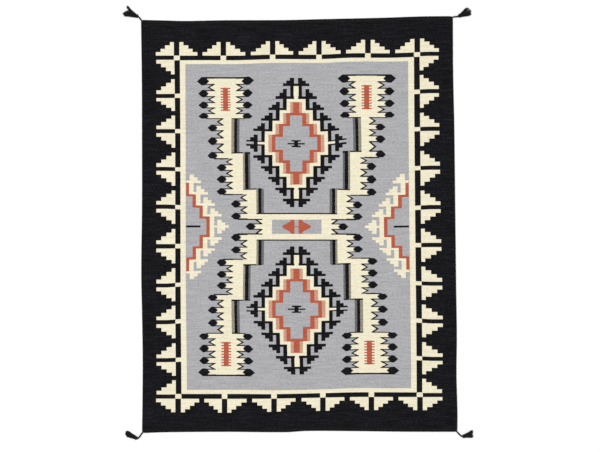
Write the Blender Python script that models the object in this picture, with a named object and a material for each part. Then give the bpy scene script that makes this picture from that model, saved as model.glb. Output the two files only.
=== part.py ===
"""Southwest style rug: one flat woven web with a corded edge, and a tassel tied on at each corner.

Sizes are in metres. The rug lies face up on z = 0, with +X to the right across the web and +Y up its length.
The origin is the middle of the web's underside.
"""

import math
import random
from typing import NamedTuple

import bmesh
import bpy
from mathutils import Vector

# The web
WEB_WIDTH = 1.224
WEB_LENGTH = 1.612
WEB_THICKNESS = 0.0032
POINTS_ACROSS = 20
POINTS_ALONG = 26

# The twisted cords along the web's four edges make a rounded bead, thicker than the web
BEAD_WIDTH = 0.0060
BEAD_HEIGHT = 0.0050
BEAD_STEPS_ABOVE = 6
BEAD_STEPS_BELOW = 3

# A tail cord ends on the web's corner, with this gap
SEAT_GAP = 0.0003

# Tail cord: two plies twisted together
CORD_RADIUS = 0.0026
CORD_LAY = 0.011
CORD_SIDES = 10
CORD_PLY_DEPTH = 0.14
CORD_STEPS_PER_TURN = 12

# The cord's bend: how far its ends run straight, as a share of the way, and the steps that measure it
STRAIGHT_SHARE = 0.4
MEASURING_STEPS = 40

# The neck between the cord's last turn and the knot
NECK_LENGTH = 0.0014

# Locks of loose yarn in a tassel's skirt, in rows one above another
LOCK_COLUMNS = 7
LOCK_ROWS = 4
LOCK_STEPS = 5
LOCK_WIDTH = 0.0026
LOCK_HEIGHT = 0.0017
LOCK_TIP_SIZE = 0.5
LOCK_ROOT_MARGIN = 0.2
LOCK_ROW_PITCH = 0.0020
LOCK_ROW_SHIFT = 0.25
LOCK_REACH_SPREAD = 0.06
LOCK_TURN_SPREAD_DEG = 1.5
LOCK_BEND = 0.45

# How much the square set of locks is drawn in at its corners, to fit the round neck
NECK_ROUNDING = 0.38

SHARP_EDGE_DEG = 35.0
WELD_DISTANCE = 0.00001
UP = Vector((0.0, 0.0, 1.0))
MM = 0.001


class EdgeRow(NamedTuple):
    """How far an edge strays outwards from the straight one, at a fraction of its length."""

    along: float
    stray_mm: float


# The top and bottom edges run from the left corner to the right one, and the sides from the top down
EDGES = {
    "top": (
        EdgeRow(0.000, -5.7),
        EdgeRow(0.075, -8.1),
        EdgeRow(0.138, -10.0),
        EdgeRow(0.266, -7.3),
        EdgeRow(0.457, -6.5),
        EdgeRow(0.584, -2.8),
        EdgeRow(0.776, 2.5),
        EdgeRow(0.903, 7.7),
        EdgeRow(1.000, 8.7),
    ),
    "bottom": (
        EdgeRow(0.000, 5.6),
        EdgeRow(0.075, 2.5),
        EdgeRow(0.266, 0.9),
        EdgeRow(0.457, 2.3),
        EdgeRow(0.520, -2.4),
        EdgeRow(0.648, -2.2),
        EdgeRow(0.840, 0.5),
        EdgeRow(1.000, 0.9),
    ),
    "left": (
        EdgeRow(0.000, 2.6),
        EdgeRow(0.139, -0.5),
        EdgeRow(0.265, -1.1),
        EdgeRow(0.454, -1.1),
        EdgeRow(0.609, 1.7),
        EdgeRow(0.706, -1.1),
        EdgeRow(0.802, -3.6),
        EdgeRow(0.894, -3.4),
        EdgeRow(1.000, -1.3),
    ),
    "right": (
        EdgeRow(0.000, -9.5),
        EdgeRow(0.139, -8.3),
        EdgeRow(0.265, -4.0),
        EdgeRow(0.517, 0.7),
        EdgeRow(0.643, 3.0),
        EdgeRow(0.768, 5.8),
        EdgeRow(0.863, 4.6),
        EdgeRow(0.957, 8.3),
        EdgeRow(1.000, 7.7),
    ),
}


class HeadRow(NamedTuple):
    """A tassel head's section, at a distance back from the face that the skirt leaves."""

    back: float
    half_width: float
    half_height: float


# A bound neck of three wraps, then the rounded knot, narrowing to the tail cord
HEAD_ROWS = (
    HeadRow(0.0000, 0.0062, 0.0046),
    HeadRow(0.0014, 0.0059, 0.0045),
    HeadRow(0.0022, 0.0052, 0.0041),
    HeadRow(0.0030, 0.0057, 0.0045),
    HeadRow(0.0038, 0.0052, 0.0041),
    HeadRow(0.0046, 0.0057, 0.0045),
    HeadRow(0.0054, 0.0052, 0.0041),
    HeadRow(0.0062, 0.0057, 0.0045),
    HeadRow(0.0070, 0.0053, 0.0042),
    HeadRow(0.0084, 0.0066, 0.0053),
    HeadRow(0.0108, 0.0075, 0.0059),
    HeadRow(0.0136, 0.0074, 0.0058),
    HeadRow(0.0158, 0.0060, 0.0049),
    HeadRow(0.0172, 0.0040, 0.0036),
)


class FanRow(NamedTuple):
    """Where locks end, at a fraction of the way across the skirt from its right side to its left one."""

    across: float
    turn_deg: float
    reach: float


class Corner(NamedTuple):
    """A corner of the web, cut off square to its tail cord, and the tassel tied there.

    The back of the head is placed from the cut. A turn is measured from the heading, anticlockwise.
    """

    name: str
    cut_across: float
    cut_down: float
    head_x: float
    head_y: float
    heading_deg: float
    fan: tuple
    seed: int


CORNERS = {
    ("left", "top"): Corner(
        name="tassel_upper_left",
        cut_across=0.0042,
        cut_down=0.0042,
        head_x=-0.0120,
        head_y=0.0140,
        heading_deg=163.0,
        fan=(
            FanRow(0.00, -38.0, 0.044),
            FanRow(0.20, -30.0, 0.042),
            FanRow(0.40, -15.0, 0.032),
            FanRow(0.60, 0.0, 0.038),
            FanRow(0.82, 14.0, 0.042),
            FanRow(1.00, 27.0, 0.040),
        ),
        seed=11,
    ),
    ("right", "top"): Corner(
        name="tassel_upper_right",
        cut_across=0.0010,
        cut_down=0.0080,
        head_x=0.0206,
        head_y=0.0024,
        heading_deg=24.0,
        fan=(
            FanRow(0.00, -40.0, 0.020),
            FanRow(0.18, -27.0, 0.033),
            FanRow(0.42, -9.0, 0.035),
            FanRow(0.68, 8.0, 0.037),
            FanRow(0.88, 30.0, 0.034),
            FanRow(1.00, 38.0, 0.028),
        ),
        seed=12,
    ),
    ("left", "bottom"): Corner(
        name="tassel_lower_left",
        cut_across=0.0042,
        cut_down=0.0042,
        head_x=-0.0170,
        head_y=-0.0170,
        heading_deg=158.0,
        fan=(
            FanRow(0.00, -27.0, 0.031),
            FanRow(0.25, -10.0, 0.036),
            FanRow(0.55, 3.0, 0.034),
            FanRow(0.80, 22.0, 0.027),
            FanRow(1.00, 42.0, 0.021),
        ),
        seed=13,
    ),
    ("right", "bottom"): Corner(
        name="tassel_lower_right",
        cut_across=0.0050,
        cut_down=0.0036,
        head_x=0.0190,
        head_y=-0.0135,
        heading_deg=14.0,
        fan=(
            FanRow(0.00, -35.0, 0.026),
            FanRow(0.25, -20.0, 0.027),
            FanRow(0.50, -3.0, 0.025),
            FanRow(0.75, 18.0, 0.029),
            FanRow(0.90, 28.0, 0.030),
            FanRow(1.00, 38.0, 0.025),
        ),
        seed=14,
    ),
}

BLACK_WOOL = (0.012, 0.012, 0.015)
GREY_WOOL = (0.40, 0.40, 0.41)
WOOL_ROUGHNESS = 0.9


def clear_scene():
    """Take out whatever the file opened with."""
    for item in list(bpy.data.objects):
        bpy.data.objects.remove(item, do_unlink=True)


def make_material(name, colour):
    """Give a matt wool finish of one colour."""
    material = bpy.data.materials.new(name)
    material.use_nodes = True
    shader = material.node_tree.nodes["Principled BSDF"]
    shader.inputs["Base Color"].default_value = (*colour, 1.0)
    shader.inputs["Roughness"].default_value = WOOL_ROUGHNESS
    shader.inputs["Metallic"].default_value = 0.0
    return material


def add_object(name, mesh, material):
    """Turn a finished bmesh into a named object with its own material."""
    bmesh.ops.recalc_face_normals(mesh, faces=mesh.faces)
    data = bpy.data.meshes.new(name)
    mesh.to_mesh(data)
    mesh.free()
    data.materials.append(material)
    data.shade_smooth()
    data.set_sharp_from_angle(angle=math.radians(SHARP_EDGE_DEG))
    item = bpy.data.objects.new(name, data)
    bpy.context.scene.collection.objects.link(item)
    return item


def read_smoothly(rows, at):
    """Read the columns after the first one, at a value of the first, along a smooth curve."""
    at = min(max(at, rows[0][0]), rows[-1][0])
    upper = next(i for i in range(1, len(rows)) if at <= rows[i][0])
    before = rows[max(upper - 2, 0)]
    low = rows[upper - 1]
    high = rows[upper]
    after = rows[min(upper + 1, len(rows) - 1)]
    span = high[0] - low[0]
    t = (at - low[0]) / span
    values = []
    for k in range(1, len(low)):
        slope_low = (high[k] - before[k]) / (high[0] - before[0]) * span
        slope_high = (after[k] - low[k]) / (after[0] - low[0]) * span
        value = (2 * t**3 - 3 * t**2 + 1) * low[k]
        value += (t**3 - 2 * t**2 + t) * slope_low
        value += (3 * t**2 - 2 * t**3) * high[k]
        value += (t**3 - t**2) * slope_high
        values.append(value)
    return values


def stray(edge, along):
    """Give how far an edge strays outwards, in metres, at a fraction of its length."""
    return read_smoothly(EDGES[edge], along)[0] * MM


def edge_point(edge, along):
    """Give the point of one straying edge at a fraction of its length."""
    half_width = WEB_WIDTH / 2
    half_length = WEB_LENGTH / 2
    if edge in ("top", "bottom"):
        end = 0.0 if edge == "top" else 1.0
        left = -half_width - stray("left", end)
        right = half_width + stray("right", end)
        y = half_length + stray(edge, along)
        return Vector((left + (right - left) * along, y if edge == "top" else -y, 0.0))
    end = 0.0 if edge == "left" else 1.0
    top = half_length + stray("top", end)
    bottom = -half_length - stray("bottom", end)
    x = half_width + stray(edge, along)
    return Vector((x if edge == "right" else -x, top + (bottom - top) * along, 0.0))


def edge_points(edge, count, length, cut_first, cut_last):
    """List an edge's points, stopping short of each corner by the cut there."""
    first = cut_first / length
    last = 1.0 - cut_last / length
    return [edge_point(edge, first + (last - first) * i / (count - 1)) for i in range(count)]


def web_outline():
    """Give the web's outline, anticlockwise from above, with its four cut corners."""
    top_left = CORNERS["left", "top"]
    top_right = CORNERS["right", "top"]
    bottom_left = CORNERS["left", "bottom"]
    bottom_right = CORNERS["right", "bottom"]
    top = edge_points("top", POINTS_ACROSS, WEB_WIDTH, top_left.cut_across, top_right.cut_across)
    left = edge_points("left", POINTS_ALONG, WEB_LENGTH, top_left.cut_down, bottom_left.cut_down)
    bottom = edge_points("bottom", POINTS_ACROSS, WEB_WIDTH, bottom_left.cut_across, bottom_right.cut_across)
    right = edge_points("right", POINTS_ALONG, WEB_LENGTH, top_right.cut_down, bottom_right.cut_down)
    return top[::-1] + left + bottom + right[::-1]


def corner_cut(side, end):
    """Give the middle of a corner's cut and the direction in which it faces."""
    corner = CORNERS[side, end]
    across = corner.cut_across / WEB_WIDTH
    down = corner.cut_down / WEB_LENGTH
    on_end = edge_point(end, across if side == "left" else 1.0 - across)
    on_side = edge_point(side, down if end == "top" else 1.0 - down)
    chord = on_side - on_end
    middle = (on_end + on_side) / 2
    facing = Vector((chord.y, -chord.x, 0.0)).normalized()
    return middle, facing if facing.dot(middle) > 0 else -facing


def round_rim(mesh, face, angles):
    """Step a flat face inwards along the bead's rounded section, from its outermost line."""
    for before, after in zip(angles, angles[1:]):
        bmesh.ops.inset_region(
            mesh,
            faces=[face],
            thickness=BEAD_WIDTH / 2 * (math.cos(before) - math.cos(after)),
            depth=BEAD_HEIGHT / 2 * (math.sin(after) - math.sin(before)),
            use_even_offset=True,
            use_boundary=True,
        )


def build_web(material):
    """Build the woven web with its corded edge as one flat solid."""
    mesh = bmesh.new()
    outline = web_outline()
    upper_rim = [mesh.verts.new((p.x, p.y, BEAD_HEIGHT / 2)) for p in outline]
    lower_rim = [mesh.verts.new(vertex.co) for vertex in reversed(upper_rim)]
    upper = mesh.faces.new(upper_rim)
    lower = mesh.faces.new(lower_rim)
    mesh.normal_update()
    last_angle = math.pi - math.asin(2 * WEB_THICKNESS / BEAD_HEIGHT - 1.0)
    round_rim(mesh, upper, [last_angle * i / BEAD_STEPS_ABOVE for i in range(BEAD_STEPS_ABOVE + 1)])
    round_rim(mesh, lower, [math.pi / 2 * i / BEAD_STEPS_BELOW for i in range(BEAD_STEPS_BELOW + 1)])
    bmesh.ops.remove_doubles(mesh, verts=upper_rim + lower_rim, dist=WELD_DISTANCE)
    for vertex in lower.verts:
        vertex.co.z = 0.0
    return add_object("woven_field", mesh, material)


class Route:
    """A tail cord's path in plan, from the web's cut corner to the back of the tassel's head."""

    def __init__(self, seat, facing, end, heading):
        self.start = seat + facing * SEAT_GAP
        self.end = end
        reach = (end - self.start).length * STRAIGHT_SHARE
        self.first = self.start + facing * reach
        self.last = end - heading * reach
        places = [self.point(i / MEASURING_STEPS) for i in range(MEASURING_STEPS + 1)]
        self.length = sum((after - before).length for before, after in zip(places, places[1:]))

    def point(self, t):
        """Give the point at a fraction of the path."""
        s = 1 - t
        return s**3 * self.start + 3 * s * s * t * self.first + 3 * s * t * t * self.last + t**3 * self.end

    def direction(self, t):
        """Give the way the path runs at a fraction of it."""
        s = 1 - t
        step = s * s * (self.first - self.start) + 2 * s * t * (self.last - self.first)
        return (step + t * t * (self.end - self.last)).normalized()


def left_of(direction):
    """Give the level direction that lies to the left of another."""
    return Vector((-direction.y, direction.x, 0.0))


def join_rings(mesh, before, after):
    """Join two closed rings that have the same number of vertices."""
    count = len(before)
    for i in range(count):
        following = (i + 1) % count
        mesh.faces.new((before[i], before[following], after[following], after[i]))


def ring_edges(mesh, ring):
    """List the edges round a closed ring of vertices."""
    return [mesh.edges.get(pair) for pair in zip(ring, ring[1:] + ring[:1])]


def cord_ring(mesh, centre, direction, turn):
    """Add one ring of the two-ply cord, with its two lobes turned by an angle."""
    ring = []
    for i in range(CORD_SIDES):
        angle = 2 * math.pi * i / CORD_SIDES
        reach = CORD_RADIUS * (1 - CORD_PLY_DEPTH + CORD_PLY_DEPTH * math.cos(2 * (angle - turn)))
        place = centre + left_of(direction) * (reach * math.cos(angle))
        ring.append(mesh.verts.new(place + UP * (CORD_RADIUS + reach * math.sin(angle))))
    return ring


def build_tail(mesh, route):
    """Build the twisted tail cord, its flat end facing the web, and give its last ring."""
    turns = route.length / CORD_LAY
    steps = round(turns * CORD_STEPS_PER_TURN)
    rings = []
    for i in range(steps + 1):
        t = i / steps
        rings.append(cord_ring(mesh, route.point(t), route.direction(t), 2 * math.pi * turns * t))
    for before, after in zip(rings, rings[1:]):
        join_rings(mesh, before, after)
    mesh.faces.new(rings[0])
    return rings[-1]


def head_point(face_centre, heading, row, side, lift):
    """Place a point of the head's section: side and lift run from -1 to 1 across and up it."""
    place = face_centre - heading * row.back + left_of(heading) * (row.half_width * side)
    return place + UP * (row.half_height * (1 + lift))


def neck_spot(column, level):
    """Give the side and lift of a corner between locks, drawn in towards the neck's round rim."""
    side = 2 * column / LOCK_COLUMNS - 1
    lift = 2 * level / LOCK_ROWS - 1
    return side * math.sqrt(1 - NECK_ROUNDING * lift**2), lift * math.sqrt(1 - NECK_ROUNDING * side**2)


def build_head(mesh, face_centre, heading, cord_end):
    """Build the knot and its bound neck onto the tail cord, and give the grid that the locks leave."""
    grid = {}
    for column in range(LOCK_COLUMNS + 1):
        for level in range(LOCK_ROWS + 1):
            place = head_point(face_centre, heading, HEAD_ROWS[0], *neck_spot(column, level))
            grid[column, level] = mesh.verts.new(place)
    rim = [(column, 0) for column in range(LOCK_COLUMNS)]
    rim += [(LOCK_COLUMNS, level) for level in range(LOCK_ROWS)]
    rim += [(column, LOCK_ROWS) for column in range(LOCK_COLUMNS, 0, -1)]
    rim += [(0, level) for level in range(LOCK_ROWS, 0, -1)]
    before = [grid[spot] for spot in rim]
    for row in HEAD_ROWS[1:]:
        ring = []
        for spot in rim:
            side, lift = neck_spot(*spot)
            angle = math.atan2(lift, side)
            place = head_point(face_centre, heading, row, math.cos(angle), math.sin(angle))
            ring.append(mesh.verts.new(place))
        join_rings(mesh, before, ring)
        before = ring
    bmesh.ops.bridge_loops(mesh, edges=ring_edges(mesh, before) + ring_edges(mesh, cord_end))
    return grid


def lock_ring(mesh, low, direction, width, height):
    """Add a lock's four-sided section, standing on the middle of its lower side."""
    aside = left_of(direction) * (width / 2)
    high = low + UP * height
    return [mesh.verts.new(place) for place in (low - aside, low + aside, high + aside, high - aside)]


def grow_lock(mesh, corners, heading, tip, tip_base):
    """Draw one cell of the neck's face out into a tapering lock that ends at the tip."""
    middle = sum((vertex.co for vertex in corners), Vector()) / 4
    root = [mesh.verts.new(vertex.co.lerp(middle, LOCK_ROOT_MARGIN)) for vertex in corners]
    join_rings(mesh, corners, root)
    root_width = min((root[1].co - root[0].co).length, (root[2].co - root[3].co).length)
    root_base = max(root[0].co.z, root[1].co.z)
    start = Vector((middle.x, middle.y, 0.0))
    bend = start + heading * ((tip - start).length * LOCK_BEND)
    before = root
    for step in range(1, LOCK_STEPS + 1):
        t = step / LOCK_STEPS
        s = 1 - t
        centre = s * s * start + 2 * s * t * bend + t * t * tip
        direction = (s * (bend - start) + t * (tip - bend)).normalized()
        base = root_base * s**2 + tip_base * (1 - s**2)
        width = root_width + (LOCK_WIDTH - root_width) * t * t
        taper = 1 - (1 - LOCK_TIP_SIZE) * max(0.0, 2 * t - 1) ** 2
        ring = lock_ring(mesh, centre + UP * base, direction, width * taper, LOCK_HEIGHT * taper)
        join_rings(mesh, before, ring)
        before = ring
    mesh.faces.new(before)


def build_skirt(mesh, corner, face_centre, heading, grid):
    """Grow every lock of the skirt out of the neck's face, fanned out and resting level."""
    draw = random.Random(corner.seed)
    for level in range(LOCK_ROWS):
        shift = LOCK_ROW_SHIFT if level % 2 else -LOCK_ROW_SHIFT
        for column in range(LOCK_COLUMNS):
            turn, reach = read_smoothly(corner.fan, (column + 0.5 + shift) / LOCK_COLUMNS)
            turn += draw.uniform(-LOCK_TURN_SPREAD_DEG, LOCK_TURN_SPREAD_DEG)
            reach *= 1 + draw.uniform(-LOCK_REACH_SPREAD, LOCK_REACH_SPREAD)
            angle = math.radians(corner.heading_deg + turn)
            tip = face_centre + Vector((math.cos(angle), math.sin(angle), 0.0)) * reach
            spots = ((column, level), (column + 1, level), (column + 1, level + 1), (column, level + 1))
            grow_lock(mesh, [grid[spot] for spot in spots], heading, tip, level * LOCK_ROW_PITCH)


def build_tassel(side, end, material):
    """Build one tassel: its tail cord, its head and its skirt of locks, fused into one solid."""
    corner = CORNERS[side, end]
    seat, facing = corner_cut(side, end)
    angle = math.radians(corner.heading_deg)
    heading = Vector((math.cos(angle), math.sin(angle), 0.0))
    head_back = seat + Vector((corner.head_x, corner.head_y, 0.0))
    face_centre = head_back + heading * HEAD_ROWS[-1].back
    mesh = bmesh.new()
    cord_end = build_tail(mesh, Route(seat, facing, head_back - heading * NECK_LENGTH, heading))
    grid = build_head(mesh, face_centre, heading, cord_end)
    build_skirt(mesh, corner, face_centre, heading, grid)
    return add_object(corner.name, mesh, material)


def main():
    """Build the rug."""
    clear_scene()
    build_web(make_material("woven_grey_wool", GREY_WOOL))
    for side, end in CORNERS:
        build_tassel(side, end, make_material(f"{CORNERS[side, end].name}_wool", BLACK_WOOL))


main()
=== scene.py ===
"""Dressed model of the southwest style rug: a patterned woven web, its edge cord and four corner tassels.

Sizes are in metres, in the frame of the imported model: the rug lies face up on z = 0, with +X across the web to
the right and +Y up its length. The pattern's chart is counted in ribs of the weave from the middle of the web.
"""

import bisect
import logging
import math
import random
from dataclasses import dataclass
from enum import Enum
from typing import Callable, NamedTuple, Sequence, TypeVar, Union

import bmesh
import bpy
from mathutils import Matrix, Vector


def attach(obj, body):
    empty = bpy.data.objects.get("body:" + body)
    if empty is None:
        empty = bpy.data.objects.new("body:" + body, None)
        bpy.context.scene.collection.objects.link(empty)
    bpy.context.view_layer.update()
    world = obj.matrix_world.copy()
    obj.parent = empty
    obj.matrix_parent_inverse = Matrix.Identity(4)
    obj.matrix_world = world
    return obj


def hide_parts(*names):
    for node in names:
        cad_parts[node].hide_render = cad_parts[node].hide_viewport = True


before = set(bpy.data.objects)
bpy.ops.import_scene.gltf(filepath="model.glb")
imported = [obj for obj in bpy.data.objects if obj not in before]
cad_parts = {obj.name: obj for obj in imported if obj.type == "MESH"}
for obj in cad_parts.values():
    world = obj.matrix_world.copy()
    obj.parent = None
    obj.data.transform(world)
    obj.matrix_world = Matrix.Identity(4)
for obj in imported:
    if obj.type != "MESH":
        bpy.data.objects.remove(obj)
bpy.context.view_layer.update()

LOG = logging.getLogger("rug")
LOOM_UV = "OFBake"
UP = Vector((0.0, 0.0, 1.0))
MM = 0.001
WELD_DISTANCE = 1e-6
GRID_EDGE = 0.4999

Row = TypeVar("Row")
Colour = tuple[float, float, float]
Mesh = bmesh.types.BMesh
Verts = list[bmesh.types.BMVert]
Socket = bpy.types.NodeSocket
Material = bpy.types.Material
Object = bpy.types.Object


def table(kind: Callable[..., Row], *rows: tuple) -> tuple[Row, ...]:
    """Give names to the columns of a table's rows."""
    return tuple(kind(*row) for row in rows)


class Slot(Enum):
    """The names of the two material slots."""

    WEB = "woven_wool"
    TASSEL = "tassel_wool"


class Edge(Enum):
    """The web's edges, seen from above."""

    TOP = "top"
    BOTTOM = "bottom"
    LEFT = "left"
    RIGHT = "right"


class Yarn(Enum):
    """The weft yarns, by the number that stands for each in the chart."""

    GREY = 0.0
    CREAM = 1.0
    BLACK = 2.0
    CORAL = 3.0


class EdgeRow(NamedTuple):
    """How far an edge strays outwards from the straight one, at a fraction of its length."""

    along: float
    stray_mm: float


# The top and bottom edges run from the left corner to the right one, and the sides from the top down
EDGE_ROWS = {
    Edge.TOP: table(
        EdgeRow,
        (0.000, -5.7), (0.075, -8.1), (0.138, -10.0), (0.266, -7.3), (0.457, -6.5), (0.584, -2.8),
        (0.776, 2.5), (0.903, 7.7), (1.000, 8.7),
    ),
    Edge.BOTTOM: table(
        EdgeRow,
        (0.000, 5.6), (0.075, 2.5), (0.266, 0.9), (0.457, 2.3), (0.520, -2.4), (0.648, -2.2), (0.840, 0.5),
        (1.000, 0.9),
    ),
    Edge.LEFT: table(
        EdgeRow,
        (0.000, 2.6), (0.139, -0.5), (0.265, -1.1), (0.454, -1.1), (0.609, 1.7), (0.706, -1.1), (0.802, -3.6),
        (0.894, -3.4), (1.000, -1.3),
    ),
    Edge.RIGHT: table(
        EdgeRow,
        (0.000, -9.5), (0.139, -8.3), (0.265, -4.0), (0.517, 0.7), (0.643, 3.0), (0.768, 5.8), (0.863, 4.6),
        (0.957, 8.3), (1.000, 7.7),
    ),
}


class HeadRow(NamedTuple):
    """A tassel head's section, at a distance back from the face that the skirt leaves."""

    back: float
    half_width: float
    half_height: float


HEAD_ROWS = table(
    HeadRow,
    (0.0000, 0.0062, 0.0046), (0.0014, 0.0059, 0.0045), (0.0070, 0.0056, 0.0043), (0.0084, 0.0066, 0.0053),
    (0.0108, 0.0075, 0.0059), (0.0136, 0.0074, 0.0058), (0.0158, 0.0060, 0.0049), (0.0172, 0.0040, 0.0036),
)


class Winding(NamedTuple):
    """A yarn wound round the head, between two distances back from its face.

    It goes round the other way where its turns are negative, and its phase is where it starts, in turns.
    """

    start: float
    end: float
    turns: float
    phase: float
    yarn: float


NECK_WRAPS = Winding(0.0008, 0.0078, 4.0, 0.1, 0.0010)
KNOT_CROSSINGS = 5
KNOT_TURNS = 0.62
KNOT_YARNS = tuple(
    Winding(0.0074, 0.0168, way * KNOT_TURNS, i / KNOT_CROSSINGS + shift, 0.0012)
    for i in range(KNOT_CROSSINGS)
    for way, shift in ((1, 0.0), (-1, 0.1))
)


class FanRow(NamedTuple):
    """Where strands end, at a fraction of the way across the skirt from its right side to its left one."""

    across: float
    turn_deg: float
    reach: float


@dataclass(frozen=True)
class Corner:
    """A corner of the web, cut off square to its tail cord, and the tassel tied there."""

    node: str
    side: Edge
    end: Edge
    cut_across: float
    cut_down: float
    head_x: float
    head_y: float
    heading_deg: float
    fan: tuple[FanRow, ...]
    seed: int

    @property
    def heading(self) -> Vector:
        """Give the level direction in which the skirt points."""
        angle = math.radians(self.heading_deg)
        return Vector((math.cos(angle), math.sin(angle), 0.0))


CORNERS = (
    Corner(
        node="tassel_upper_left", side=Edge.LEFT, end=Edge.TOP, cut_across=0.0042, cut_down=0.0042,
        head_x=-0.0120, head_y=0.0140, heading_deg=163.0,
        fan=table(
            FanRow,
            (0.00, -39.0, 0.048), (0.20, -32.0, 0.043), (0.38, -22.0, 0.031), (0.55, -7.0, 0.038),
            (0.72, 4.0, 0.044), (0.88, 15.0, 0.043), (1.00, 24.0, 0.036),
        ),
        seed=11,
    ),
    Corner(
        node="tassel_upper_right", side=Edge.RIGHT, end=Edge.TOP, cut_across=0.0010, cut_down=0.0080,
        head_x=0.0206, head_y=0.0024, heading_deg=24.0,
        fan=table(
            FanRow,
            (0.00, -40.0, 0.020), (0.18, -27.0, 0.033), (0.42, -9.0, 0.035), (0.68, 8.0, 0.037),
            (0.88, 30.0, 0.034), (1.00, 38.0, 0.028),
        ),
        seed=12,
    ),
    Corner(
        node="tassel_lower_left", side=Edge.LEFT, end=Edge.BOTTOM, cut_across=0.0042, cut_down=0.0042,
        head_x=-0.0200, head_y=-0.0235, heading_deg=150.0,
        fan=table(
            FanRow,
            (0.00, -14.0, 0.031), (0.25, -6.0, 0.034), (0.50, 6.0, 0.035), (0.75, 20.0, 0.030),
            (1.00, 38.0, 0.021),
        ),
        seed=13,
    ),
    Corner(
        node="tassel_lower_right", side=Edge.RIGHT, end=Edge.BOTTOM, cut_across=0.0050, cut_down=0.0036,
        head_x=0.0215, head_y=-0.0195, heading_deg=14.0,
        fan=table(
            FanRow,
            (0.00, -36.0, 0.024), (0.22, -24.0, 0.026), (0.50, -2.0, 0.023), (0.78, 19.0, 0.028),
            (0.92, 28.0, 0.031), (1.00, 35.0, 0.026),
        ),
        seed=14,
    ),
)


def read_smoothly(rows: Sequence[Sequence[float]], at: float) -> list[float]:
    """Read a table's later columns at a value of its first one, along a smooth curve.

    Args:
        rows: The table, in order of its first column.
        at: The value of the first column to read at, held within the table.

    Returns:
        The later columns' values there.
    """
    at = min(max(at, rows[0][0]), rows[-1][0])
    upper = next(i for i in range(1, len(rows)) if at <= rows[i][0])
    before = rows[max(upper - 2, 0)]
    low = rows[upper - 1]
    high = rows[upper]
    after = rows[min(upper + 1, len(rows) - 1)]
    span = high[0] - low[0]
    t = (at - low[0]) / span
    values = []
    for k in range(1, len(low)):
        slope_low = (high[k] - before[k]) / (high[0] - before[0]) * span
        slope_high = (after[k] - low[k]) / (after[0] - low[0]) * span
        value = (2 * t**3 - 3 * t**2 + 1) * low[k]
        value += (t**3 - 2 * t**2 + t) * slope_low
        value += (3 * t**2 - 2 * t**3) * high[k]
        value += (t**3 - t**2) * slope_high
        values.append(value)
    return values


def left_of(direction: Vector) -> Vector:
    """Give the level direction that lies to the left of another."""
    return Vector((-direction.y, direction.x, 0.0))


@dataclass(frozen=True)
class Outline:
    """The web's four straying edges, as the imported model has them."""

    width: float = 1.224
    length: float = 1.612

    def stray(self, edge: Edge, along: float) -> float:
        """Give how far an edge strays outwards at a fraction of its length."""
        return read_smoothly(EDGE_ROWS[edge], along)[0] * MM

    def point(self, edge: Edge, along: float, inset: float = 0.0) -> Vector:
        """Give a point of one edge.

        Args:
            edge: The edge to read.
            along: The fraction of its length, from the left or from the top.
            inset: How far inside the outline the point lies.

        Returns:
            The point, on the floor.
        """
        half_width = self.width / 2 - inset
        half_length = self.length / 2 - inset
        if edge in (Edge.TOP, Edge.BOTTOM):
            end = 0.0 if edge is Edge.TOP else 1.0
            left = -half_width - self.stray(Edge.LEFT, end)
            right = half_width + self.stray(Edge.RIGHT, end)
            y = half_length + self.stray(edge, along)
            return Vector((left + (right - left) * along, y if edge is Edge.TOP else -y, 0.0))
        end = 0.0 if edge is Edge.LEFT else 1.0
        top = half_length + self.stray(Edge.TOP, end)
        bottom = -half_length - self.stray(Edge.BOTTOM, end)
        x = half_width + self.stray(edge, along)
        return Vector((x if edge is Edge.RIGHT else -x, top + (bottom - top) * along, 0.0))

    def corner_cut(self, corner: Corner) -> tuple[Vector, Vector]:
        """Give the middle of a corner's cut and the direction in which it faces.

        Args:
            corner: The corner to read.

        Returns:
            The middle of the cut and its outward direction.
        """
        across = corner.cut_across / self.width
        down = corner.cut_down / self.length
        on_end = self.point(corner.end, across if corner.side is Edge.LEFT else 1.0 - across)
        on_side = self.point(corner.side, down if corner.end is Edge.TOP else 1.0 - down)
        chord = on_side - on_end
        middle = (on_end + on_side) / 2
        facing = Vector((chord.y, -chord.x, 0.0)).normalized()
        return middle, facing if facing.dot(middle) > 0 else -facing


class DriftLine(NamedTuple):
    """How far one line of the chart drifts on the web, in ribs, at each of a table's levels."""

    chart: float
    drifts: tuple[float, ...]


@dataclass(frozen=True)
class DriftTable:
    """The drifts of all the chart's lines that run one way.

    The web's edges come before the first line and after the last one. Each level along the lines has its column
    of the drifts, and two levels can share one.
    """

    edges: tuple[Edge, Edge]
    levels: tuple[float, ...]
    columns: Sequence[int]
    lines: tuple[DriftLine, ...]


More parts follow.
